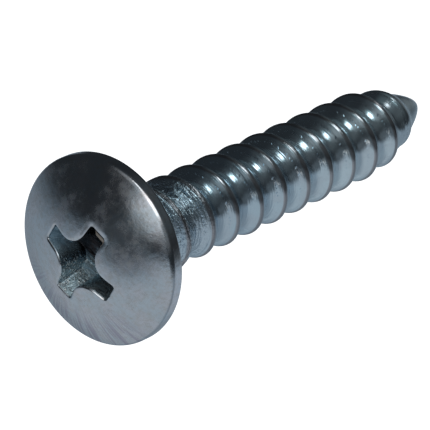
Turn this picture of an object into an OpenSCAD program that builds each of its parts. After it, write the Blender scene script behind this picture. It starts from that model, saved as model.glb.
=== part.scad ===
// Wood screw with a mushroom head and a cross recess, 4.5 x 25.
// The axis is Z: the head points to +Z and its bearing face lies on z = 0, with the point at -length.
// The screw is one piece of steel, drawn as the sections that lie one behind the other along its axis.

/* [Head] */
// Diameter of the head
head_d = 9.6; // [8.8:0.1:11]
// Height of the head above its bearing face
head_h = 2.35; // [2.1:0.05:3.2]
// Height at which the rounded edge of the head is widest
rim_h = 0.55; // [0.35:0.05:0.7]
// Radius of the rounded edge between the rim and the crown
edge_r = 0.35; // [0.3:0.05:1]
// Radius of the small rounding under the rim
under_r = 0.15; // [0.05:0.05:0.3]
// Radius of the fillet where the bearing face meets the neck
fillet_r = 0.25; // [0.1:0.05:0.4]

/* [Cross recess] */
// Distance from wing tip to wing tip at the mouth
recess_span = 4.4; // [3.8:0.02:5]
// Width of each wing
wing_w = 0.96; // [0.7:0.02:1.2]
// Radius of the rounded corners between the wings
web_r = 1.05; // [0.2:0.05:1.1]
// Depth of the wings below the crown
wing_depth = 1.6; // [1.2:0.05:1.7]
// Further depth of the central cone below the wings
cone_depth = 0.5; // [0.2:0.05:0.55]
// Half-angle between a wing's end wall and the axis
wing_angle = 26.5; // [15:0.5:28]

/* [Shank] */
// Length from the bearing face to the end of the point
length = 24.45; // [18:0.05:40]
// Length of the plain neck under the head
neck_l = 1.05; // [0.8:0.05:2.5]
// Diameter of the plain neck
neck_d = 3.6; // [3.4:0.1:3.8]

/* [Thread] */
// Diameter over the thread crests
thread_d = 4.5; // [4.2:0.05:5]
// Diameter at the bottom of the thread
root_d = 3.3; // [2.9:0.05:3.4]
// Distance between crests
pitch = 1.86; // [1.6:0.005:2.2]
// Share of the pitch that the rounded valley takes
valley_share = 0.62; // [0.4:0.02:0.8]
// Length over which the thread grows from the neck to full depth
run_in = 2.2; // [1:0.1:4]
// Angle of the thread about the axis
thread_turn = 198; // [0:1:359]

/* [Point] */
// Length over which the crests taper towards the point
point_l = 4.8; // [3.5:0.1:6]
// Length over which the core tapers
nose_l = 3.05; // [2.65:0.05:3.4]
// Length of the smooth end, past the last of the thread
smooth_l = 1.3; // [0.5:0.05:2.6]
// Distance of the blunt end from the axis
nose_offset = 0.35; // [0:0.05:0.4]
// Direction of that offset about the axis
nose_turn = 287; // [0:1:359]

/* [Hidden] */
$fn = 96;

head_r = head_d / 2;
thread_r = thread_d / 2;
root_r = root_d / 2;
neck_r = neck_d / 2;

recess_floor = head_h - wing_depth;
above_head = head_h + 1;

// The crown is an arc about the axis that runs tangentially into the arc of the rounded edge.
edge_x = head_r - edge_r;
edge_drop = head_h - rim_h;
crown_r = (edge_x * edge_x + edge_drop * edge_drop - edge_r * edge_r) / (2 * (edge_drop - edge_r));
crown_z = head_h - crown_r;
touch_angle = atan2(rim_h - crown_z, edge_x);
touch_x = crown_r * cos(touch_angle);
touch_z = crown_z + crown_r * sin(touch_angle);

// The threaded surface has PER_TURN columns round the axis and PER_PITCH rows along each turn. The rows
// climb with the thread: each column's rows lie 1 / SHIFT of a row above those of the column before it.
PER_TURN = 32;
PER_PITCH = 8;
SHIFT = PER_TURN / PER_PITCH;
// Powers that shape the blunt end: of the core and of the line over the crests
CORE_POWER = 0.6;
CREST_POWER = 0.45;
thread_rows = round((length - neck_l - point_l) / pitch * PER_PITCH);
thread_l = thread_rows * pitch / PER_PITCH;

module head_profile() {
    // the collar that carries the fillet under the bearing face
    difference() {
        translate([0, -fillet_r]) square([neck_r + fillet_r, fillet_r]);
        translate([neck_r + fillet_r, -fillet_r]) circle(r = fillet_r);
    }
    // below the rounded edge
    translate([0, under_r]) square([head_r, rim_h - under_r]);
    square([head_r - under_r, under_r]);
    translate([head_r - under_r, under_r]) circle(r = under_r);
    // the rounded edge
    intersection() {
        translate([edge_x, rim_h]) circle(r = edge_r);
        translate([0, rim_h]) square([head_r + 1, edge_r + 1]);
    }
    // the crown
    intersection() {
        translate([0, crown_z]) circle(r = crown_r);
        polygon([
            [0, rim_h],
            [edge_x, rim_h],
            [touch_x, touch_z],
            [touch_x, above_head],
            [0, above_head],
        ]);
    }
}

// Cross with filleted inner corners, wings along X and Y
module recess_plan(reach) {
    corner = wing_w / 2 + web_r;
    square([2 * reach, wing_w], center = true);
    square([wing_w, 2 * reach], center = true);
    difference() {
        square(2 * corner, center = true);
        for (sx = [-1, 1], sy = [-1, 1])
            translate([sx * corner, sy * corner]) circle(r = web_r);
    }
}

// Side view of two opposite wings, whose end walls lean in towards the floor
module wing_sides() {
    half_top = recess_span / 2 + (above_head - head_h) * tan(wing_angle);
    half_floor = recess_span / 2 - wing_depth * tan(wing_angle);
    polygon([
        [-half_floor, recess_floor],
        [half_floor, recess_floor],
        [half_top, above_head],
        [-half_top, above_head],
    ]);
}

module recess() {
    reach = recess_span / 2 + 2;
    cone_r = wing_w / 2 + web_r * (1 - sqrt(0.5));
    intersection() {
        linear_extrude(height = above_head) recess_plan(reach);
        rotate([90, 0, 0])
            linear_extrude(height = 2 * reach, center = true) wing_sides();
        rotate([90, 0, 90])
            linear_extrude(height = 2 * reach, center = true) wing_sides();
    }
    translate([0, 0, recess_floor - cone_depth])
        cylinder(h = cone_depth, r1 = cone_r / 2, r2 = cone_r);
}

module head() {
    color([0.62, 0.65, 0.72])
        difference() {
            rotate_extrude() head_profile();
            recess();
        }
}

module neck() {
    color([0.52, 0.56, 0.62])
        translate([0, 0, -neck_l])
            cylinder(h = neck_l - fillet_r, r = neck_r);
}

// Thread height from 0 at the valley floor to 1 at the crest, for a place u along the pitch
function ridge(u) =
    let (from_crest = abs(u - round(u)) * 2, flank = 1 - valley_share)
    from_crest < flank
        ? 1 - 0.5 * pow(from_crest / flank, 1.6)
        : 0.5 * pow((1 - from_crest) / valley_share, 2.2);

function share(x) = min(1, max(0, x));
function ease(x) = x * x * (3 - 2 * x);

// At a depth d below the bearing face: how far the thread has grown, how much of it is left on the
// point, the radius of the core and the radius over the crests
function grown(d) = 1 - pow(1 - share((d - neck_l) / run_in), 2);
function kept(d) = ease(share((length - d - smooth_l) / (nose_l - smooth_l)));
function core_at(d) =
    (neck_r + (root_r - neck_r) * grown(d)) * pow(share((length - d) / nose_l), CORE_POWER);
function crest_at(d) = thread_r * pow(share((length - d) / point_l), CREST_POWER);
function radius_at(d, turn) =
    let (lift = max(0, crest_at(d) - core_at(d)) * grown(d) * kept(d))
    core_at(d) + lift * ridge(d / pitch + (turn + thread_turn) / 360);
function off_axis(d) = nose_offset * share(1 - (length - d) / point_l);
function skin_point(d, turn) =
    let (r = radius_at(d, turn), aside = off_axis(d))
    [r * cos(turn) + aside * cos(nose_turn), r * sin(turn) + aside * sin(nose_turn), -d];

// Closed skin between two depths. A column starts and ends on the flat end faces; one that lies a whole
// number of rows along the thread has its last row on the end face, so it has one point fewer.
module threaded_skin(from, to, rows) {
    step = (to - from) / rows;
    function late(i) = (i % SHIFT) / SHIFT;
    function last(i) = i % SHIFT == 0 ? rows : rows + 1;
    function at(i, j) =
        let (c = i % PER_TURN)
        c * (rows + 2) - ceil(c / SHIFT) + min(j, last(c));
    function tri(a, b, c) = [if (a != b && b != c && a != c) [a, b, c]];
    function quad(a, b, c, d) = concat(tri(a, b, c), tri(a, c, d));
    points = [
        for (i = [0 : PER_TURN - 1], j = [0 : last(i)])
            skin_point(j == 0 ? from : j == last(i) ? to : from + step * (j - late(i)), 360 * i / PER_TURN),
    ];
    along = [
        for (i = [0 : PER_TURN - 1], j = [0 : rows])
            if (i % SHIFT != SHIFT - 1)
                each quad(at(i, j), at(i + 1, j), at(i + 1, j + 1), at(i, j + 1)),
    ];
    across = [
        for (i = [SHIFT - 1 : SHIFT : PER_TURN - 1])
            each concat(
                [[at(i, 0), at(i + 1, 0), at(i, 1)]],
                [for (j = [1 : rows]) each quad(at(i, j), at(i + 1, j - 1), at(i + 1, j), at(i, j + 1))]
            ),
    ];
    top = [for (i = [PER_TURN - 1 : -1 : 0]) at(i, 0)];
    bottom = [for (i = [0 : PER_TURN - 1]) at(i, last(i))];
    polyhedron(points = points, faces = concat([top], along, across, [bottom]), convexity = 8);
}

module thread() {
    color([0.40, 0.46, 0.52])
        threaded_skin(neck_l, neck_l + thread_l, thread_rows);
}

module point() {
    from = neck_l + thread_l;
    color([0.34, 0.41, 0.47])
        threaded_skin(from, length - 0.002, round((length - from) / pitch * PER_PITCH));
}

head();
neck();
thread();
point();
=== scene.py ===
import math

import bpy
import numpy as np
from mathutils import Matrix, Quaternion, Vector


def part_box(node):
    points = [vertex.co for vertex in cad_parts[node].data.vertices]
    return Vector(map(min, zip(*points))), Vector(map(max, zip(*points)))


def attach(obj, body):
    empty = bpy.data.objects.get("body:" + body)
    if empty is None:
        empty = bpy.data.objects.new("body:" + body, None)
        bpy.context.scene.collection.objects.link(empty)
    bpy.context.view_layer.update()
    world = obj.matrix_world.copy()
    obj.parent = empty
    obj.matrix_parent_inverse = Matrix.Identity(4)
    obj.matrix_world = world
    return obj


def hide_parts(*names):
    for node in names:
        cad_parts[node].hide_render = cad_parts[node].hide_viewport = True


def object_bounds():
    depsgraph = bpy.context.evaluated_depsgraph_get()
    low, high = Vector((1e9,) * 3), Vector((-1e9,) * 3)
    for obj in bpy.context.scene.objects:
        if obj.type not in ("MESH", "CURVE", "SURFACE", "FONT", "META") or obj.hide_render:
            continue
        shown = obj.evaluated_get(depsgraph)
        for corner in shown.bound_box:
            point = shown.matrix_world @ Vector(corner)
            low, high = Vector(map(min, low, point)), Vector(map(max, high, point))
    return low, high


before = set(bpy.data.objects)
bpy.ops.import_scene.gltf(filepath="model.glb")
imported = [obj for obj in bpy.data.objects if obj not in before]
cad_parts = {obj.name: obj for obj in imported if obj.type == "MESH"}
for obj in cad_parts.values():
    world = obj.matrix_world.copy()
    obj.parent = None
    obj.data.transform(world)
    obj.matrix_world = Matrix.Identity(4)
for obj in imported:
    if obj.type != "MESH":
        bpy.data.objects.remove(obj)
cad_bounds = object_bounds()

MM = 0.001
TAU = 2 * math.pi

# ---------------------------------------------------------------- places and sizes, in millimetres
head_lo, head_hi = (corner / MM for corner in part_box("head"))
neck_lo, neck_hi = (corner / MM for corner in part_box("neck"))
thread_lo, _ = (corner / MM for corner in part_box("thread"))
point_lo, _ = (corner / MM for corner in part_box("point"))

INSIDE = 0.005
HEAD_R = head_hi.x - INSIDE
HEAD_H = 2.33
RIM_H = 0.543
EDGE_R = 0.335
UNDER_R = 0.15
FILLET_R = -head_lo.z
NECK_R = (neck_hi.x - neck_lo.x) / 2
NECK_END = -neck_lo.z
THREAD_END = -thread_lo.z
END_GAP = 0.001
LENGTH = -point_lo.z + END_GAP
THREAD_R = 2.25
ROOT_R = 1.653
PITCH = 1.858
VALLEY_SHARE = 0.62
RUN_IN = 2.2
# these three are in turns of the thread
THREAD_TURN = 0.551
SEAM_BACK = 0.03
CREST_LINE_BACK = 0.05

CRESTS_TAPER = 4.81
CORE_TAPER = 3.04
SMOOTH_END = 1.315
CORE_POWER = 0.605
CREST_POWER = 0.4545
NOSE_OFFSET = np.array([0.108, -0.276])

# the recess and the shank were forged a touch off the middle of the head, and the shank leans by half
# a degree
SHANK_OFFSET = np.array([-0.1155, 0.0583])
SHANK_LEAN = np.array([0.0040, -0.0087])
RECESS_OFFSET = np.array([-0.1346, 0.105])
RECESS_SPAN = 4.4
WING_W = 0.968
WEB_R = 1.05
TIP_R = 0.12
WING_LEAN = math.tan(math.radians(26.5))
SIDE_LEAN = math.tan(math.radians(2.5))
RECESS_DEPTH = 2.05
FLOOR_SLOPE = math.tan(math.radians(17))
RECESS_FLOOR_R = 1.3
WALL_DEPTH = RECESS_DEPTH - FLOOR_SLOPE * RECESS_FLOOR_R
RECESS_REACH = 2.3
RECESS_LOWEST = 0.05
PAINTED_LIP = 0.6
LIP_R = 0.13
LIP_W = 0.15
LIP_W_RAISED = 0.34
LIP_W_DENTED = 0.06

# small irregularities, as shares of half the pitch, the thread's height, the pitch and the recess's reach
CREST_ROUNDING = 0.05
SEAM_DEPTH = 0.012
SEAM_WIDTH = 0.014
OUTLINE_WOBBLE = 0.006
# and in millimetres
SHANK_UNEVEN = 0.006
TEAR_STROKES = 0.030
TEAR_DENTS = 0.026
CROWN_WAVES = 0.004
WALL_ROUGH = 0.007
FLOOR_ROUGH = 0.016
LEDGE_REACH = 0.26

COLUMNS = 152
ROW_STEP = 0.03
BLUNT_L = 0.6


# ---------------------------------------------------------------- shape helpers
def share(x):
    return np.clip(x, 0.0, 1.0)


def ease(x):
    return x * x * (3 - 2 * x)


def waves(x, y, seed, count=9):
    """Smooth irregular field of about unit size, from a few seeded plane waves."""
    rng = np.random.RandomState(seed)
    total = np.zeros(np.broadcast(x, y).shape)
    for _ in range(count):
        angle, phase = rng.uniform(0, TAU, 2)
        scale = rng.uniform(0.6, 1.7)
        total = total + np.sin(scale * (x * math.cos(angle) + y * math.sin(angle)) + phase)
    return total / math.sqrt(count / 2) / 1.5


def make_mesh(name, points, faces, normals=None):
    """Object in metres from points in millimetres; normals are per point, end caps keep their own."""
    mesh = bpy.data.meshes.new(name)
    mesh.from_pydata((np.asarray(points) * MM).tolist(), [], faces)
    mesh.validate()
    mesh.shade_smooth()
    if normals is not None:
        mesh.update()
        corner_points = np.empty(len(mesh.loops), dtype=np.int32)
        mesh.loops.foreach_get("vertex_index", corner_points)
        corners = np.asarray(normals)[corner_points]
        for polygon in mesh.polygons:
            if len(polygon.vertices) > 4:
                corners[polygon.loop_start : polygon.loop_start + polygon.loop_total] = polygon.normal
        mesh.normals_split_custom_set(corners.tolist())
    piece = bpy.data.objects.new(name, mesh)
    bpy.context.scene.collection.objects.link(piece)
    return piece


def ring_faces(rows, columns, first=0):
    """Quads that join each ring of points to the next; first is the number of the very first point."""
    faces = []
    for row in range(rows - 1):
        for column in range(columns):
            start = first + row * columns
            a, b = start + column, start + (column + 1) % columns
            faces.append((a, a + columns, b + columns, b))
    return faces


def end_cap(rows, columns, first=0):
    start = first + (rows - 1) * columns
    return tuple(start + column for column in reversed(range(columns)))


def start_cap(columns):
    return tuple(range(columns))


def unit(vectors):
    return vectors / np.maximum(np.linalg.norm(vectors, axis=-1, keepdims=True), 1e-12)


# ---------------------------------------------------------------- the shank's surface
def ridge(u):
    """Thread height from 0 at the valley floor to 1 at the crest, for a place u along the pitch."""
    from_crest = np.abs(u - np.round(u)) * 2
    rounded = np.sqrt(from_crest**2 + CREST_ROUNDING**2) - CREST_ROUNDING
    flank = 1 - VALLEY_SHARE
    upper = 1 - 0.5 * share(rounded / flank) ** 1.6
    lower = 0.5 * share((1 - from_crest) / VALLEY_SHARE) ** 2.2
    return np.where(rounded < flank, upper, lower)


def grown(d):
    return 1 - (1 - share((d - NECK_END) / RUN_IN)) ** 2


def kept(d):
    return ease(share((LENGTH - d - SMOOTH_END) / (CORE_TAPER - SMOOTH_END)))


def core_at(d):
    return (NECK_R + (ROOT_R - NECK_R) * grown(d)) * share((LENGTH - d) / CORE_TAPER) ** CORE_POWER


def crest_at(d):
    return THREAD_R * share((LENGTH - d) / CRESTS_TAPER) ** CREST_POWER


def pitch_place(d, turn):
    return d / PITCH + turn / TAU + THREAD_TURN


def rolling_strokes(d, turn, seed, finest, spread, count=14):
    """Irregular field of about unit size whose waves run nearly along the thread."""
    rng = np.random.RandomState(seed)
    total = np.zeros(np.broadcast(d, turn).shape)
    for _ in range(count):
        number = rng.randint(finest // 3, finest + 1)
        aside = rng.randint(-spread, spread + 1)
        phase = rng.uniform(0, TAU)
        total = total + np.sin(TAU * number * d / PITCH + (number + aside) * turn + phase)
    return total / math.sqrt(count / 2) / 1.5


def rough_start(d, turn):
    """Torn, streaky metal on the first turns under the head, in millimetres."""
    strength = ease(share((d - NECK_END) / 0.4)) * ease(share((6.4 - d) / 3.2))
    patches = share(0.65 + 0.6 * waves(1.7 * d, 2.4 * np.sin(turn) + 1.7 * np.cos(turn), 8))
    strokes = rolling_strokes(d, turn, 5, 16, 15)
    dents = rolling_strokes(d, turn, 6, 5, 10)
    return strength * patches * (TEAR_STROKES * strokes + TEAR_DENTS * dents)


def radius_at(d, turn):
    u = pitch_place(d, turn)
    lift = np.maximum(0, crest_at(d) - core_at(d)) * grown(d) * kept(d)
    from_seam = u + SEAM_BACK - np.round(u + SEAM_BACK)
    seam = SEAM_DEPTH * np.exp(-((from_seam / SEAM_WIDTH) ** 2))
    seam = seam * (0.75 + 0.3 * waves(2.1 * turn, 1.7 * np.round(u), 11)) * share(lift / 0.4)
    uneven = SHANK_UNEVEN * waves(3 * np.cos(turn) + 1.4 * d, 3 * np.sin(turn), 21)
    uneven = uneven * share((LENGTH - d) / 2)
    rough = rough_start(d, turn) * share(lift * 3)
    return core_at(d) + lift * ridge(u) - seam * lift + np.minimum(uneven, 0) + rough


def skin(d, turn):
    d = np.minimum(d, LENGTH)
    r = radius_at(d, turn)
    aside = share(1 - (LENGTH - d) / CRESTS_TAPER)
    x = r * np.cos(turn) + SHANK_OFFSET[0] + SHANK_LEAN[0] * d + NOSE_OFFSET[0] * aside
    y = r * np.sin(turn) + SHANK_OFFSET[1] + SHANK_LEAN[1] * d + NOSE_OFFSET[1] * aside
    return np.stack([x, y, -d + 0 * turn], axis=-1)


def skin_normals(d, turn):
    step_d, step_turn = 0.004, 0.004
    low = np.maximum(d - step_d, 0)
    high = np.minimum(d + step_d, LENGTH)
    along = skin(high, turn) - skin(low, turn)
    around = skin(d, turn + step_turn) - skin(d, turn - step_turn)
    return unit(np.cross(along, around))


def shank_piece(name, depths):
    """Closed piece between the first and last depth, one ring of COLUMNS points for each depth."""
    turn = np.linspace(0, TAU, COLUMNS, endpoint=False)[None, :]
    d = np.asarray(depths)[:, None]
    points = skin(d + 0 * turn, turn + 0 * d).reshape(-1, 3)
    normals = skin_normals(d + 0 * turn, turn + 0 * d).reshape(-1, 3)
    faces = ring_faces(len(depths), COLUMNS) + [start_cap(COLUMNS), end_cap(len(depths), COLUMNS)]
    return make_mesh(name, points, faces, normals)


def even_depths(start, end, step):
    return np.linspace(start, end, max(2, int(round((end - start) / step)) + 1))


def nose_depths(start):
    """Depths that crowd together towards the blunt end."""
    body = even_depths(start, LENGTH - BLUNT_L, ROW_STEP)
    left = BLUNT_L * np.linspace(1, 0.05, 26)[1:] ** 2
    return np.concatenate([body, LENGTH - left])


# ---------------------------------------------------------------- the head's surface
EDGE_X = HEAD_R - EDGE_R
EDGE_DROP = HEAD_H - RIM_H
CROWN_R = (EDGE_X**2 + EDGE_DROP**2 - EDGE_R**2) / (2 * (EDGE_DROP - EDGE_R))
CROWN_Z = HEAD_H - CROWN_R
TOUCH_ANGLE = math.atan2(RIM_H - CROWN_Z, EDGE_X)
TOUCH_X = CROWN_R * math.cos(TOUCH_ANGLE)
QUARTER_COUNTS = (5, 7, 22, 28, 22, 7, 5)


def crown_height(x, y):
    return CROWN_Z + np.sqrt(CROWN_R**2 - x * x - y * y) + CROWN_WAVES * waves(1.3 * x, 1.3 * y, 3)


def steps(count):
    return np.arange(count) / count


def line(a, b, count):
    t = steps(count)[:, None]
    return np.asarray(a) * (1 - t) + np.asarray(b) * t


def arc(centre, radius, start, end, count):
    angle = np.radians(start + (end - start) * steps(count))
    return np.stack([centre[0] + radius * np.cos(angle), centre[1] + radius * np.sin(angle)], axis=1)


def cross_outline(half_span, half_w, tip_r, web_r):
    """Rounded cross about the origin, from the +X wing's tip anticlockwise."""
    s, w, corner = half_span, half_w, half_w + web_r
    n = QUARTER_COUNTS
    quarter = np.concatenate(
        [
            line((s, 0), (s, w - tip_r), n[0]),
            arc((s - tip_r, w - tip_r), tip_r, 0, 90, n[1]),
            line((s - tip_r, w), (corner, w), n[2]),
            arc((corner, corner), web_r, 270, 180, n[3]),
            line((w, corner), (w, s - tip_r), n[4]),
            arc((w - tip_r, s - tip_r), tip_r, 0, 90, n[5]),
            line((w - tip_r, s), (0, s), n[6]),
        ]
    )
    quarter_turns = ((1, 0), (0, 1), (-1, 0), (0, -1))
    turned = [quarter @ np.array([[cos, sin], [-sin, cos]]) for cos, sin in quarter_turns]
    return np.concatenate(turned)


def recess_outline(depth, out=0.0):
    """The recess's outline at a depth under the crown, moved outwards by out."""
    half_span = RECESS_SPAN / 2 - depth * WING_LEAN + out
    half_w = WING_W / 2 - depth * SIDE_LEAN + out
    web_r = min(WEB_R, half_span - TIP_R - half_w - 0.03)
    outline = cross_outline(half_span, half_w, TIP_R + out, web_r - out)
    wobble = 1 + OUTLINE_WOBBLE * waves(2.5 * outline[:, 0], 2.5 * outline[:, 1], 31)
    return outline * wobble[:, None] + RECESS_OFFSET


def floor_height(x, y):
    r = np.hypot(x - RECESS_OFFSET[0], y - RECESS_OFFSET[1])
    rough = FLOOR_ROUGH * waves(5 * x, 5 * y, 41, 14)
    return HEAD_H - RECESS_DEPTH + FLOOR_SLOPE * np.sqrt(r * r + 0.01) + rough


def circle(radius, angles, centre=(0.0, 0.0)):
    return np.stack([centre[0] + radius * np.cos(angles), centre[1] + radius * np.sin(angles)], axis=1)


def with_z(xy, z):
    return np.column_stack([xy, np.broadcast_to(z, len(xy))])


def torn_ledge(xy, depth):
    """How far a torn flap of metal reaches in from the -Y wing's end, a little under the mouth."""
    near_end = ease(share((RECESS_OFFSET[1] - 1.62 - xy[:, 1]) / 0.2))
    one_side = ease(share((0.20 - xy[:, 0]) / 0.25))
    tall = ease(share((depth - LIP_R) / 0.10)) * ease(share((0.62 - depth) / 0.3))
    return LEDGE_REACH * near_end * one_side * tall


def floor_rings(floor_line):
    rings = []
    for t in np.linspace(0.05, 0.96, 16):
        xy = RECESS_OFFSET + (floor_line - RECESS_OFFSET) * t
        rings.append(with_z(xy, floor_height(xy[:, 0], xy[:, 1])))
    return rings


def wall_rings(floor_line):
    low = floor_height(floor_line[:, 0], floor_line[:, 1])
    rings = []
    for t in np.linspace(0, 1, 26):
        depth = WALL_DEPTH * (1 - t) + LIP_R * t
        xy = recess_outline(depth)
        high = crown_height(xy[:, 0], xy[:, 1]) - LIP_R
        rough = WALL_ROUGH * waves(6 * xy[:, 0] + 4 * depth, 6 * xy[:, 1] - 4 * depth, 51, 14)
        xy = xy + unit(xy - RECESS_OFFSET) * (rough * math.sin(math.pi * t))[:, None]
        xy[:, 1] += torn_ledge(xy, depth)
        rings.append(with_z(xy, low * (1 - t) + high * t))
    return rings


def lip_rings():
    """The rounded lip: raised on the -Y side, and a dented straight chamfer on one side of the -X wing."""
    inner, outer, raised = (recess_outline(LIP_R, out) for out in (0.0, LIP_W, LIP_W_RAISED))
    lifted = ease(share((RECESS_OFFSET[1] - 0.3 - inner[:, 1]) / 1.0))[:, None]
    outer = outer * (1 - lifted) + raised * lifted
    dented = ease(share((-1.05 - inner[:, 0]) / 0.25)) * share((inner[:, 1] - RECESS_OFFSET[1]) / 0.2)
    outer = outer + (recess_outline(LIP_R, LIP_W_DENTED) - outer) * dented[:, None]
    rings = []
    for angle in np.radians(np.linspace(9, 90, 10)):
        straight = 2 * angle / math.pi
        t = (1 - math.cos(angle)) * (1 - dented) + straight * dented
        drop = (1 - math.sin(angle)) * (1 - dented) + (1 - straight) * dented
        xy = inner + (outer - inner) * t[:, None]
        rings.append(with_z(xy, crown_height(xy[:, 0], xy[:, 1]) - LIP_R * drop))
    return rings


def recess_rings():
    """From the middle of the floor to the lip on the crown."""
    floor_line = recess_outline(WALL_DEPTH)
    return floor_rings(floor_line) + wall_rings(floor_line) + lip_rings()


def crown_rings(mouth, angles):
    """From the recess's lip out to the rounded edge; past inner_r the crown's slight waves fade out."""
    inner_r = 3.2
    rings = []
    for t in np.linspace(0, 1, 26)[1:]:
        xy = mouth * (1 - t) + circle(inner_r, angles) * t
        rings.append(with_z(xy, crown_height(xy[:, 0], xy[:, 1])))
    for r in np.linspace(inner_r, TOUCH_X, 16)[1:]:
        xy = circle(r, angles)
        fade = 1 - ease(share((r - inner_r) / (TOUCH_X - inner_r)))
        plain = CROWN_Z + math.sqrt(CROWN_R**2 - r * r)
        rings.append(with_z(xy, plain + fade * (crown_height(xy[:, 0], xy[:, 1]) - plain)))
    return rings


def rim_rings(angles):
    """Round the edge, down the rim and along the flat underside to the fillet at the neck."""
    rings = []
    for a in np.linspace(TOUCH_ANGLE, 0, 18)[1:]:
        rings.append(with_z(circle(EDGE_X + EDGE_R * math.cos(a), angles), RIM_H + EDGE_R * math.sin(a)))
    for z in np.linspace(RIM_H, UNDER_R, 5)[1:]:
        rings.append(with_z(circle(HEAD_R, angles), z))
    for a in np.linspace(0, math.pi / 2, 8)[1:]:
        r = HEAD_R - UNDER_R + UNDER_R * math.cos(a)
        rings.append(with_z(circle(r, angles), UNDER_R - UNDER_R * math.sin(a)))
    collar_r = NECK_R + FILLET_R
    for t in np.linspace(0, 1, 9)[1:]:
        r = (HEAD_R - UNDER_R) * (1 - t) + collar_r * t
        rings.append(with_z(circle(r, angles, SHANK_OFFSET * t), 0.0))
    for a in np.linspace(0, math.pi / 2, 9)[1:]:
        r = collar_r - FILLET_R * math.sin(a)
        rings.append(with_z(circle(r, angles, SHANK_OFFSET), -FILLET_R + FILLET_R * math.cos(a)))
    return rings


def head_piece():
    rings = recess_rings()
    count = len(rings[0])
    angles = TAU * np.arange(count) / count
    rings += crown_rings(rings[-1][:, :2], angles)
    rings += rim_rings(angles)
    middle = RECESS_OFFSET
    points = [np.array([[middle[0], middle[1], floor_height(*middle)]])] + rings
    faces = [(0, 1 + c, 1 + (c + 1) % count) for c in range(count)]
    faces += ring_faces(len(rings), count, 1) + [end_cap(len(rings), count, 1)]
    return make_mesh("head_forged", np.concatenate(points), faces)


def neck_piece():
    turn = np.linspace(0, TAU, COLUMNS, endpoint=False)
    rings = []
    for d in even_depths(FILLET_R, NECK_END, 0.05):
        rings.append(with_z(circle(NECK_R, turn, SHANK_OFFSET + SHANK_LEAN * d), -d))
    faces = ring_faces(len(rings), COLUMNS) + [start_cap(COLUMNS), end_cap(len(rings), COLUMNS)]
    outward = np.tile(with_z(circle(1, turn), 0.0), (len(rings), 1))
    return make_mesh("neck_turned", np.concatenate(rings), faces, outward)


# ---------------------------------------------------------------- node graphs
class Graph:
    """Adds nodes to a tree; each call returns the new node's first output."""

    def __init__(self, tree):
        self.tree = tree

    def put(self, socket, value):
        if isinstance(value, bpy.types.NodeSocket):
            self.tree.links.new(value, socket)
        elif value is not None:
            socket.default_value = value

    def node(self, kind, inputs=(), **settings):
        made = self.tree.nodes.new(kind)
        for key, value in settings.items():
            setattr(made, key, value)
        for key, value in dict(inputs).items():
            self.put(made.inputs[key], value)
        return made

    def math(self, operation, a, b=None, c=None):
        made = self.node("ShaderNodeMath", operation=operation)
        for socket, value in zip(made.inputs, (a, b, c)):
            self.put(socket, value)
        return made.outputs[0]

    def times(self, a, b):
        return self.math("MULTIPLY", a, b)

    def plus(self, a, b):
        return self.math("ADD", a, b)

    def more(self, a, b):
        return self.math("MAXIMUM", a, b)

    def ramp(self, value, low, high, to_low=0.0, to_high=1.0, smooth=True):
        made = self.node("ShaderNodeMapRange", {0: value, 1: low, 2: high, 3: to_low, 4: to_high})
        made.interpolation_type = "SMOOTHSTEP" if smooth else "LINEAR"
        return made.outputs[0]

    def noise(self, vector, scale, detail=2.0, rough=0.5):
        made = self.node("ShaderNodeTexNoise", {"Vector": vector, "Scale": scale})
        made.inputs["Detail"].default_value = detail
        made.inputs["Roughness"].default_value = rough
        return made.outputs[0]

    def combine(self, x, y, z):
        return self.node("ShaderNodeCombineXYZ", {0: x, 1: y, 2: z}).outputs[0]

    def mix(self, factor, a, b):
        made = self.node("ShaderNodeMix", data_type="RGBA")
        self.put(made.inputs[0], factor)
        self.put(made.inputs[6], a)
        self.put(made.inputs[7], b)
        return made.outputs[2]


def fresh_material(name):
    material = bpy.data.materials.new(name)
    material.use_nodes = True
    material.node_tree.nodes.clear()
    graph = Graph(material.node_tree)
    out = graph.node("ShaderNodeOutputMaterial")
    shader = graph.node("ShaderNodeBsdfPrincipled")
    graph.put(out.inputs["Surface"], shader.outputs[0])
    return material, graph, shader


ZINC_BLUE = (0.66, 0.73, 0.80, 1)
ZINC_LILAC = (0.72, 0.73, 0.79, 1)
ZINC_DULL = (0.56, 0.62, 0.67, 1)
ZINC_WORN = (0.60, 0.59, 0.58, 1)
RECESS_TEAL = (0.44, 0.62, 0.74, 1)
RECESS_END = (0.30, 0.44, 0.54, 1)
RECESS_BROWN = (0.22, 0.19, 0.20, 1)
RECESS_SCAR = (0.38, 0.32, 0.27, 1)
# near-black colour of the painted shade inside the recess
RECESS_PAINTED_SHADE = (0.025, 0.02, 0.022, 1)
RECESS_GRIT = (0.46, 0.60, 0.66, 1)
# near-white colour of the painted glints in the +Y wing
RECESS_PAINTED_GLINT = (0.90, 0.98, 1.00, 1)
ZINC_STREAK = (0.50, 0.48, 0.57, 1)
SHANK_BLUE = (0.64, 0.78, 0.88, 1)
SHANK_BRIGHT = (0.80, 0.93, 1.00, 1)
# crest-line colour: a brown seam that also serves as painted shade along each turn's outline
SHANK_CREST_BROWN_AND_SHADE = (0.34, 0.27, 0.26, 1)


def object_point(graph):
    """Place on the object, in millimetres, and its three parts."""
    place = graph.node("ShaderNodeTexCoord").outputs["Object"]
    scaled = graph.node("ShaderNodeVectorMath", {0: place, 1: (1 / MM, 1 / MM, 1 / MM)}, operation="MULTIPLY")
    parts = graph.node("ShaderNodeSeparateXYZ", {0: scaled.outputs[0]}).outputs
    return scaled.outputs[0], parts[0], parts[1], parts[2]


def bump(graph, height, distance_mm, before=None):
    made = graph.node("ShaderNodeBump", {"Height": height, "Strength": 1.0, "Distance": distance_mm * MM})
    if before is not None:
        graph.put(made.inputs["Normal"], before)
    return made.outputs[0]


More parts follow.
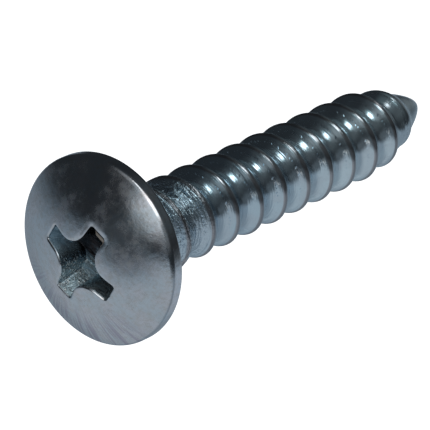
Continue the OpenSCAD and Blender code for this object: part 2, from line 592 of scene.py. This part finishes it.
# where the head's radial strokes lie: angle about the axis, radii between which they fade in, and how far
# from that angle, in radians, they fade out
STREAK_MIDDLE = math.radians(108)
STREAK_R = (2.1, 4.2)
STREAK_SPREAD = (0.7, 1.15)
STREAK_FINENESS = 30.0
CLEAN_RIM_Z = (0.5, 1.0)

# scale per millimetre, detail and roughness of each noise on the head, and the depth in millimetres of the
# ones that are felt as well as seen
HEAD_NOISES = {
    "clouds": (0.9, 3.0, 0.6),
    "haze": (0.8, 3.0, 0.55),
    "blotches": (2.2, 3.0, 0.6),
    "grain": (14.0, 2.0, 0.5),
    "specks": (4.2, 5.0, 0.75),
}
HEAD_BUMPS = {"grain": 0.0012, "specks": 0.0035, "blotches": 0.007, "haze": 0.012}
STREAK_BUMP = 0.016


def head_streaks(g, x, y):
    """Radial strokes, and how strongly each place of the head shows them."""
    r = g.math("SQRT", g.plus(g.times(x, x), g.times(y, y)))
    inverse = g.math("DIVIDE", STREAK_FINENESS, g.more(r, 0.2))
    radial = g.combine(g.times(x, inverse), g.times(y, inverse), g.times(r, 0.35))
    aside = g.math("ABSOLUTE", g.math("SUBTRACT", g.math("ARCTAN2", y, x), STREAK_MIDDLE))
    streaked = g.times(g.ramp(r, *STREAK_R), g.ramp(aside, *STREAK_SPREAD, 1.0, 0.0))
    return g.noise(radial, 1.0, 1.0), streaked


def head_tint(g, noises, streaks, streaked):
    tint = g.mix(g.ramp(noises["clouds"], 0.38, 0.62), ZINC_BLUE, ZINC_LILAC)
    tint = g.mix(g.times(g.ramp(noises["blotches"], 0.5, 0.72), 0.35), tint, ZINC_DULL)
    tint = g.mix(g.times(g.ramp(noises["specks"], 0.38, 0.72), 0.8), tint, ZINC_WORN)
    return g.mix(g.times(g.ramp(streaks, 0.46, 0.58), streaked), tint, ZINC_STREAK)


def head_zinc():
    """Bright zinc with hazy patches, fine radial strokes at one side, specks and a faint grain."""
    material, g, shader = fresh_material("zinc_head")
    place, x, y, z = object_point(g)
    noises = {name: g.noise(place, *settings) for name, settings in HEAD_NOISES.items()}
    streaks, streaked = head_streaks(g, x, y)
    g.put(shader.inputs["Base Color"], head_tint(g, noises, streaks, streaked))
    shader.inputs["Metallic"].default_value = 1.0
    hazy = g.times(g.ramp(noises["haze"], 0.38, 0.70), g.ramp(noises["blotches"], 0.25, 0.65, 0.35, 1.0))
    hazy = g.times(hazy, g.ramp(z, *CLEAN_RIM_Z))
    rough = g.ramp(hazy, 0.0, 1.0, 0.10, 0.34, smooth=False)
    g.put(shader.inputs["Roughness"], g.plus(rough, g.ramp(noises["specks"], 0.4, 0.7, 0.0, 0.10)))
    normal = None
    for name, depth in HEAD_BUMPS.items():
        normal = bump(g, noises[name], depth, normal)
    normal = bump(g, g.times(streaks, streaked), STREAK_BUMP, normal)
    g.put(shader.inputs["Normal"], normal)
    return material


# where the recess's painted shade, painted glints, scar, grit and end colour come and go, in millimetres
SHADE_END_Y = (0.05, 0.50)
MINUS_X_WING = (-1.0, -0.5)
MINUS_X_WING_END = (-1.75, -0.95)
DEEP_Y = (0.55, 1.0)
DEEP_Z = (0.65, 0.95)
PLUS_X_SIDE = (-0.2, 0.3)
SCAR_Z = (1.62, 1.72)
SCAR_NEAR_Y = (-1.66, -1.56)
SCAR_FAR_Y = (-1.99, -1.93)
SCAR_X = (0.1, 0.2)
GRIT_Y = (0.35, 1.15)
PAINTED_GLINT_Y = (0.75, 1.15)
PLUS_X_WING_END = (1.25, 1.75)


def recess_shade(g, x, y, z):
    """How far each place of the recess is darkened with painted shade."""
    shaded = g.times(g.ramp(y, *SHADE_END_Y, 0.98, 0.0), g.ramp(x, *MINUS_X_WING, 0.62, 1.0))
    shaded = g.more(shaded, g.ramp(x, *MINUS_X_WING_END, 0.6, 0.0))
    deep = g.times(g.ramp(y, *DEEP_Y, 0.95, 0.0), g.ramp(z, *DEEP_Z, 1.0, 0.0))
    return g.more(shaded, g.times(deep, g.ramp(x, *PLUS_X_SIDE)))


def recess_scar(g, x, y, z):
    """The pale scar on the torn ledge of the -Y wing."""
    scar = g.times(g.ramp(z, *SCAR_Z), g.ramp(y, *SCAR_NEAR_Y, 1.0, 0.0))
    scar = g.times(scar, g.ramp(x, *SCAR_X, 1.0, 0.0))
    return g.times(scar, g.ramp(y, *SCAR_FAR_Y))


def recess_dull(g, x, y):
    """How far each place of the recess has lost its metallic shine."""
    dull = g.times(g.ramp(x, 0.5, 1.6, 0.0, 0.9), g.ramp(y, -0.2, 0.5, 0.4, 0.8))
    dull = g.more(dull, g.ramp(x, -1.6, -0.8, 0.5, 0.0))
    return g.more(dull, g.ramp(y, 0.8, 1.5, 0.0, 0.35))


def recess_zinc():
    """Torn metal: painted shade in the middle, grit and partly painted glints in the +Y wing, a pale scar in
    the -Y wing.
    """
    material, g, shader = fresh_material("zinc_recess")
    place, x, y, z = object_point(g)
    gritty = g.ramp(g.plus(y, g.times(x, -0.25)), *GRIT_Y)
    bands = g.noise(g.combine(g.times(x, 0.9), g.times(y, 3.0), g.times(z, 3.0)), 1.3)
    grit = g.noise(place, 6.0)
    glint_bumps_and_painted_glints = g.noise(place, 7.5, 0.0)
    # painted glints: sparse specks in the +Y wing get a near-white colour that stands in for highlights
    painted_glints = g.times(g.ramp(glint_bumps_and_painted_glints, 0.60, 0.63), g.ramp(y, *PAINTED_GLINT_Y))
    scar = recess_scar(g, x, y, z)
    browned = g.times(g.ramp(bands, 0.42, 0.58), g.ramp(x, 0.3, 0.9, 1.0, 0.25))
    tint = g.mix(browned, RECESS_TEAL, RECESS_BROWN)
    tint = g.mix(g.times(gritty, g.ramp(grit, 0.35, 0.6, 0.5, 1.0)), tint, RECESS_GRIT)
    # painted shade: the recess's colour goes near black where shade falls inside it
    tint = g.mix(recess_shade(g, x, y, z), tint, RECESS_PAINTED_SHADE)
    tint = g.mix(g.ramp(x, *PLUS_X_WING_END, 0.0, 0.8), tint, RECESS_END)
    tint = g.mix(scar, tint, RECESS_SCAR)
    g.put(shader.inputs["Base Color"], g.mix(painted_glints, tint, RECESS_PAINTED_GLINT))
    dull = g.times(recess_dull(g, x, y), g.math("SUBTRACT", 1.0, painted_glints))
    g.put(shader.inputs["Metallic"], g.math("SUBTRACT", 1.0, g.more(scar, dull)))
    rough = g.plus(g.ramp(grit, 0.3, 0.7, 0.18, 0.28), g.ramp(gritty, 0, 1, 0.0, 0.10))
    g.put(shader.inputs["Roughness"], rough)
    normal = bump(g, bands, 0.06)
    normal = bump(g, g.times(grit, g.ramp(gritty, 0, 1, 0.005, 0.032)), 1.0, normal)
    normal = bump(g, g.times(g.ramp(glint_bumps_and_painted_glints, 0.62, 0.70), g.ramp(gritty, 0, 1, 0.0, 0.11)), 1.0, normal)
    g.put(shader.inputs["Normal"], normal)
    return material


def thread_angle(g, x, y, z):
    """Angle along the pitch: a whole turn from one crest to the next."""
    from_axis_x = g.math("SUBTRACT", x, g.math("MULTIPLY_ADD", z, -SHANK_LEAN[0], SHANK_OFFSET[0]))
    from_axis_y = g.math("SUBTRACT", y, g.math("MULTIPLY_ADD", z, -SHANK_LEAN[1], SHANK_OFFSET[1]))
    turn = g.math("ARCTAN2", from_axis_y, from_axis_x)
    along = g.plus(g.math("DIVIDE", z, -PITCH), g.math("DIVIDE", turn, TAU))
    return g.times(g.plus(along, THREAD_TURN), TAU)


MARKS_FINENESS = 2.6
# heights between which the shank's finishes and its crest lines of painted shade come and go, in millimetres
TORN_Z = (-7.0, -3.4)
BLUE_Z = (-19.0, -7.0)
MARKED_Z = (-19.0, -12.0)
CREST_BROWN_AND_SHADE_Z = (-22.6, -20.6)


def shank_zinc():
    """Bright zinc, rolling marks along the thread, rougher first turns, crest lines of brown and painted
    shade.
    """
    material, g, shader = fresh_material("zinc_shank")
    place, x, y, z = object_point(g)
    along = thread_angle(g, x, y, z)
    round_x = g.times(g.math("COSINE", along), MARKS_FINENESS)
    round_y = g.times(g.math("SINE", along), MARKS_FINENESS)
    marks = g.noise(g.combine(round_x, round_y, g.times(z, 3.0)), 1.0, 2.0, 0.55)
    first_turns = g.ramp(z, *TORN_Z)
    grit = g.noise(place, 5.0, 4.0, 0.6)
    clouds = g.noise(place, 0.8)
    crest = g.ramp(g.math("COSINE", g.plus(along, TAU * CREST_LINE_BACK)), 0.90, 0.985)
    tint = g.mix(g.ramp(z, *BLUE_Z), SHANK_BRIGHT, SHANK_BLUE)
    tint = g.mix(g.times(g.ramp(clouds, 0.38, 0.62), 0.5), tint, ZINC_BLUE)
    tint = g.mix(g.times(g.ramp(grit, 0.55, 0.75), 0.35), tint, ZINC_DULL)
    # crest lines: brown seam colour that also paints the shade along each turn's outline
    tint = g.mix(g.times(crest, g.ramp(z, *CREST_BROWN_AND_SHADE_Z, 0.0, 0.65)), tint, SHANK_CREST_BROWN_AND_SHADE)
    g.put(shader.inputs["Base Color"], tint)
    shader.inputs["Metallic"].default_value = 1.0
    g.put(shader.inputs["Roughness"], g.ramp(grit, 0.3, 0.72, 0.13, 0.24))
    depth = g.plus(g.ramp(z, *MARKED_Z, 0.010, 0.028), g.ramp(first_turns, 0, 1, 0.0, 0.040))
    normal = bump(g, g.times(marks, depth), 1.0)
    normal = bump(g, g.times(grit, g.ramp(first_turns, 0, 1, 0.004, 0.065)), 1.0, normal)
    g.put(shader.inputs["Normal"], normal)
    return material


# ---------------------------------------------------------------- the studio
# Soft cards round the screw. Angles are in degrees: azimuth from and to with the softness of each end,
# elevation from and to with the softness of each end, then colour and brightness.
CARDS = {
    "table": ((36, 190), (28, 20), (-78, 70), (40, 20), (0.72, 0.87, 1.00), 0.27),
    "table_middle": ((60, 186), (50, 26), (-2, 62), (30, 26), (1.00, 0.97, 0.92), 0.15),
    "window_glow": ((-130, -62), (40, 50), (-50, 76), (40, 20), (0.85, 0.97, 1.00), 0.06),
    "ceiling": ((-179, 179), (2, 2), (74, 91), (14, 2), (0.80, 0.92, 1.00), 0.035),
}
DARK = (0.020, 0.023, 0.026)
BACKDROP_LEVEL = 1.05


def card_light(g, azimuth, elevation, card):
    (left, right), (soft_left, soft_right), (low, high), (soft_low, soft_high), colour, strength = card
    middle, half = math.radians((left + right) / 2), (right - left) / 2
    aside = g.math("WRAP", g.math("SUBTRACT", azimuth, middle), -math.pi, math.pi)
    edges = [
        (aside, -half, soft_left, 0.0, 1.0),
        (aside, half, soft_right, 1.0, 0.0),
        (elevation, low, soft_low, 0.0, 1.0),
        (elevation, high, soft_high, 1.0, 0.0),
    ]
    light = strength
    for value, edge, soft, before, after in edges:
        near, far = math.radians(edge - soft / 2), math.radians(edge + soft / 2)
        light = g.times(light, g.ramp(value, near, far, before, after))
    return g.node("ShaderNodeVectorMath", {0: colour, "Scale": light}, operation="SCALE").outputs[0]


def studio_world():
    world = bpy.data.worlds.new("studio")
    bpy.context.scene.world = world
    world.use_nodes = True
    world.node_tree.nodes.clear()
    g = Graph(world.node_tree)
    direction = g.node("ShaderNodeTexCoord").outputs["Generated"]
    x, y, z = g.node("ShaderNodeSeparateXYZ", {0: direction}).outputs
    azimuth = g.math("ARCTAN2", y, x)
    elevation = g.math("ARCSINE", z)
    total = g.node("ShaderNodeRGB")
    total.outputs[0].default_value = (*DARK, 1)
    total = total.outputs[0]
    for card in CARDS.values():
        lit = card_light(g, azimuth, elevation, card)
        total = g.node("ShaderNodeVectorMath", {0: total, 1: lit}, operation="ADD").outputs[0]
    seen = g.node("ShaderNodeBackground", {"Color": (1, 1, 1, 1), "Strength": BACKDROP_LEVEL})
    cards = g.node("ShaderNodeBackground", {"Color": total, "Strength": 1.0})
    path = g.node("ShaderNodeLightPath").outputs["Is Camera Ray"]
    mixed = g.node("ShaderNodeMixShader", {0: path, 1: cards.outputs[0], 2: seen.outputs[0]})
    out = g.node("ShaderNodeOutputWorld")
    g.put(out.inputs["Surface"], mixed.outputs[0])


# Soft boxes far from the screw, each lighting the head, the shank or only its tip: azimuth and elevation
# of the middle, half-width and half-height, all in degrees, then colour and brightness.
SOFT_BOXES = {
    "head_window": ("head", -96, 8, 22, 34, (1.00, 0.97, 0.94), 1.70),
    "head_window_top": ("head", -98, 52, 26, 30, (0.93, 0.98, 1.00), 0.62),
    "head_window_side": ("head", -122, 20, 30, 46, (0.85, 0.95, 1.00), 0.10),
    "head_window_far": ("head", -64, 24, 26, 34, (0.95, 0.98, 1.00), 0.22),
    "head_lamp": ("head", -73, 1, 10, 12, (1.00, 0.98, 0.96), 1.60),
    "head_under": ("head", 160, -46, 38, 22, (0.86, 0.93, 1.00), 0.16),
    "shank_window": ("shank", -86, 7, 13, 20, (0.97, 0.99, 1.00), 2.40),
    "shank_window_fringe": ("shank", -86, 8, 18, 28, (0.50, 0.92, 1.00), 0.50),
    "shank_window_top": ("shank", -98, 36, 18, 34, (0.90, 0.98, 1.00), 0.18),
    "shank_window_glow": ("shank", -60, -38, 34, 30, (0.72, 0.95, 1.00), 0.07),
    "shank_side": ("shank", -154, 4, 16, 50, (0.80, 0.92, 1.00), 0.08),
    "shank_lamp": ("shank", -164, 44, 4, 4, (1.00, 0.97, 0.94), 1.10),
    "shank_under": ("shank", -42, -78, 24, 20, (0.90, 0.98, 1.00), 0.12),
    "tip_lamp": ("tip", -68, -35, 9, 9, (0.97, 0.99, 1.00), 1.60),
}
BOX_DISTANCE = 2.0
BOX_SOFT = 0.38
BOX_POWER = math.pi


def soft_edges(data):
    data.use_nodes = True
    g = Graph(data.node_tree)
    emission = next(n for n in data.node_tree.nodes if n.type == "EMISSION")
    across = g.node("ShaderNodeNewGeometry").outputs["Parametric"]
    u, v, _ = g.node("ShaderNodeSeparateXYZ", {0: across}).outputs
    light = 1.0
    for value in (u, v):
        light = g.times(light, g.ramp(value, 0.0, BOX_SOFT))
        light = g.times(light, g.ramp(value, 1.0 - BOX_SOFT, 1.0, 1.0, 0.0))
    g.put(emission.inputs["Strength"], light)


def soft_box(name, azimuth, elevation, half_w, half_h, colour, brightness):
    a, e = math.radians(azimuth), math.radians(elevation)
    direction = Vector((math.cos(a) * math.cos(e), math.sin(a) * math.cos(e), math.sin(e)))
    data = bpy.data.lights.new(name, "AREA")
    data.shape = "RECTANGLE"
    data.size = 2 * BOX_DISTANCE * math.tan(math.radians(half_w))
    data.size_y = 2 * BOX_DISTANCE * math.tan(math.radians(half_h))
    data.color = colour
    data.energy = brightness * BOX_POWER * data.size * data.size_y
    soft_edges(data)
    box = bpy.data.objects.new(name, data)
    box.location = direction * BOX_DISTANCE
    box.rotation_mode = "QUATERNION"
    box.rotation_quaternion = (-direction).to_track_quat("-Z", "Y")
    box.visible_camera = False
    bpy.context.scene.collection.objects.link(box)
    return box


def light_screw(groups):
    for name, (group, *settings) in SOFT_BOXES.items():
        box = soft_box(name, *settings)
        box.light_linking.receiver_collection = groups[group]


FLOOR_REACH = 2.0


def pale_floor(level):
    material, g, shader = fresh_material("pale_floor")
    place = g.node("ShaderNodeTexCoord").outputs["Object"]
    paper = g.noise(place, 60.0, 3.0)
    g.put(shader.inputs["Base Color"], g.mix(paper, (0.90, 0.90, 0.90, 1), (0.93, 0.93, 0.93, 1)))
    shader.inputs["Roughness"].default_value = 0.9
    shader.inputs["Specular IOR Level"].default_value = 0.1
    shader.inputs["Emission Color"].default_value = (1, 1, 1, 1)
    shader.inputs["Emission Strength"].default_value = 1.0
    corners = [(x * FLOOR_REACH, y * FLOOR_REACH, level) for x, y in ((-1, -1), (1, -1), (1, 1), (-1, 1))]
    mesh = bpy.data.meshes.new("floor")
    mesh.from_pydata(corners, [], [(0, 1, 2, 3)])
    floor = bpy.data.objects.new("floor", mesh)
    bpy.context.scene.collection.objects.link(floor)
    floor.data.materials.append(material)
    floor.visible_glossy = False
    return floor


def floor_light():
    """Wide overhead light that only the floor shows."""
    data = bpy.data.lights.new("overhead", "SUN")
    data.energy = 0.3
    data.angle = math.radians(100)
    light = bpy.data.objects.new("overhead", data)
    light.visible_glossy = False
    bpy.context.scene.collection.objects.link(light)


VIEW_AZIMUTH = -25.256
VIEW_ELEVATION = 45.257
VIEW_ROLL = -114.186
VIEW_DISTANCE = 0.16128
VIEW_ASIDE = (-0.001955, -0.001678)
LENS_MM = 267.9


def photo_camera():
    low, high = cad_bounds
    centre = (low + high) / 2
    a, e = math.radians(VIEW_AZIMUTH), math.radians(VIEW_ELEVATION)
    back = Vector((math.sin(a) * math.cos(e), -math.cos(a) * math.cos(e), math.sin(e)))
    turn = (-back).to_track_quat("-Z", "Y") @ Quaternion((0, 0, 1), math.radians(VIEW_ROLL))
    right, up = turn @ Vector((1, 0, 0)), turn @ Vector((0, 1, 0))
    data = bpy.data.cameras.new("camera")
    data.sensor_width = 36
    data.lens = LENS_MM
    data.clip_start = 0.005
    data.clip_end = 10
    camera = bpy.data.objects.new("camera", data)
    camera.rotation_mode = "QUATERNION"
    camera.rotation_quaternion = turn
    camera.location = centre + back * VIEW_DISTANCE + right * VIEW_ASIDE[0] + up * VIEW_ASIDE[1]
    bpy.context.scene.collection.objects.link(camera)
    bpy.context.scene.camera = camera


# ---------------------------------------------------------------- the screw
def paint_recess(piece, plain_index, recess_index):
    """The recess's own faces take the rougher finish."""
    mesh = piece.data
    for polygon in mesh.polygons:
        x, y, z = (value / MM for value in polygon.center)
        crown = CROWN_Z + math.sqrt(max(0, CROWN_R**2 - x * x - y * y))
        low = z < crown - PAINTED_LIP * LIP_R
        aside = max(abs(x - RECESS_OFFSET[0]), abs(y - RECESS_OFFSET[1]))
        inside = aside < RECESS_REACH and z > RECESS_LOWEST
        polygon.material_index = recess_index if low and inside else plain_index


def build_screw():
    head = head_piece()
    neck = neck_piece()
    thread = shank_piece("thread_rolled", even_depths(NECK_END, THREAD_END, ROW_STEP))
    point = shank_piece("point_rolled", nose_depths(THREAD_END))
    shank = shank_zinc()
    head.data.materials.append(head_zinc())
    head.data.materials.append(recess_zinc())
    paint_recess(head, 0, 1)
    for piece in (neck, thread, point):
        piece.data.materials.append(shank)
    for piece, node in ((head, "head"), (neck, "neck"), (thread, "thread"), (point, "point")):
        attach(piece, "root")
        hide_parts(node)
    groups = {name: bpy.data.collections.new("lit_" + name) for name in ("head", "shank", "tip")}
    groups["head"].objects.link(head)
    groups["tip"].objects.link(point)
    for piece in (neck, thread, point):
        groups["shank"].objects.link(piece)
    return groups


bpy.context.scene.view_settings.view_transform = "Standard"
photo_camera()
studio_world()
light_screw(build_screw())
pale_floor(cad_bounds[0].z)
floor_light()
